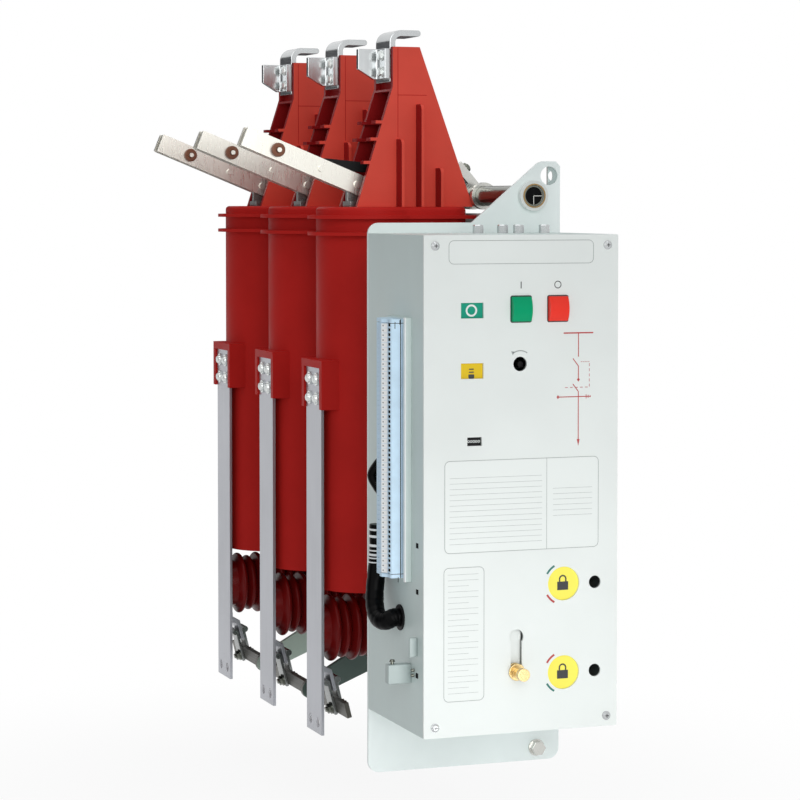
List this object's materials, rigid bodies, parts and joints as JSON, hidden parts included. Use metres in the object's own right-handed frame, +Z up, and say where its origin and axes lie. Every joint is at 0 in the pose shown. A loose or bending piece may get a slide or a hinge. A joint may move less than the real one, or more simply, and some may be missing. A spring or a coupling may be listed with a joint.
{
  "type": "indoor vacuum circuit breaker",
  "caption": "Side-mounted indoor vacuum circuit breaker: moulded red poles with blade isolators above, an earthing switch below and a mechanism case with a front panel.",
  "frame": {"origin": "on the outer face of the side frame, level with the middle pole's axis and with the middle of the mechanism case", "axes": "+X out of the side frame's mounting face, +Y from the front panel back to the poles, +Z up"},
  "size_m": [0.3563, 0.942, 0.922],
  "materials": {
    "epoxy": "moulded epoxy, satin gloss",
    "bright_silver": "silver-plated flat bar, satin",
    "painted_grey": "powder coat, satin",
    "panel": "powder coat, satin",
    "zinc": "zinc plated",
    "zinc_green": "passivated zinc",
    "green_button": "gloss",
    "red_button": "gloss",
    "teal_flag": "matt",
    "yellow_flag": "matt",
    "black_plastic": "matt",
    "black_sheath": "matt sheath",
    "terminal_blue": "matt",
    "brass": "turned",
    "copper": "dull copper"
  },
  "bodies": {
    "breaker": {"pole_1": "epoxy", "pole_2": "epoxy", "pole_3": "epoxy", "tower_1": "epoxy", "tower_2": "epoxy", "tower_3": "epoxy", "post_insulator_1": "epoxy", "post_insulator_2": "epoxy", "post_insulator_3": "epoxy", "terminal_hook_1": "bright_silver", "terminal_hook_2": "bright_silver", "terminal_hook_3": "bright_silver", "static_contact_1": "bright_silver", "static_contact_2": "bright_silver", "static_contact_3": "bright_silver", "load_bar_1": "bright_silver", "load_bar_2": "bright_silver", "load_bar_3": "bright_silver", "earthing_contacts": "bright_silver", "mounting_plate": "painted_grey", "side_frame": "painted_grey", "rear_bearing_plate": "painted_grey", "mechanism_case": "painted_grey", "side_latch": "painted_grey", "insulator_brackets": "painted_grey", "front_panel": "panel", "shaft_bush": "panel", "earth_terminal": "zinc", "hinge_brackets": "zinc", "position_indicator": "teal_flag", "charge_indicator": "yellow_flag", "isolator_shutter": "yellow_flag", "earthing_shutter": "yellow_flag", "operation_counter": "black_plastic", "cable_grommet": "black_plastic", "cable_harness": "black_sheath", "terminal_strip": "terminal_blue"},
    "isolator_blades": {"isolator_blade_1": "bright_silver", "isolator_blade_2": "bright_silver", "isolator_blade_3": "bright_silver", "blade_springs": "copper"},
    "isolator_shaft": {"isolator_shaft": "zinc"},
    "pull_rods": {"pull_rods": "black_plastic"},
    "earthing_switch": {"earthing_frame": "zinc_green", "earthing_clips": "zinc"},
    "close_button": {"close_button": "green_button"},
    "open_button": {"open_button": "red_button"},
    "interlock_knob": {"interlock_knob": "brass"}
  },
  "joints": [
    {"name": "isolator_shaft_turn", "type": "hinge", "parent": "breaker", "child": "isolator_shaft", "pos_m": [-0.038, 0, 0.337], "axis": [0, 1, 0], "range_deg": [0, 72]},
    {"name": "blade_swing", "type": "hinge", "parent": "breaker", "child": "isolator_blades", "pos_m": [-0.2, 0, 0.352], "axis": [0, 1, 0], "range_deg": [0, 72]},
    {"name": "rod_pin_turn", "type": "hinge", "parent": "isolator_blades", "child": "pull_rods", "pos_m": [-0.25007, 0, 0.37223], "axis": [0, 1, 0], "range_deg": [-72, 0]},
    {"name": "earthing_open", "type": "hinge", "parent": "breaker", "child": "earthing_switch", "pos_m": [-0.1, 0, -0.262], "axis": [0, -1, 0], "range_deg": [0, 60]},
    {"name": "close_button_push", "type": "slide", "parent": "breaker", "child": "close_button", "axis": [0, 1, 0], "range_m": [0, 0.006], "stiffness_N_per_m": 900},
    {"name": "open_button_push", "type": "slide", "parent": "breaker", "child": "open_button", "axis": [0, 1, 0], "range_m": [0, 0.006], "stiffness_N_per_m": 900},
    {"name": "interlock_slide", "type": "slide", "parent": "breaker", "child": "interlock_knob", "axis": [0, 0, 1], "range_m": [0, 0.041]}
  ],
  "couplings": [
    {"joint": "blade_swing", "follows": "isolator_shaft_turn", "ratio": 1},
    {"joint": "rod_pin_turn", "follows": "isolator_shaft_turn", "ratio": -1}
  ]
}
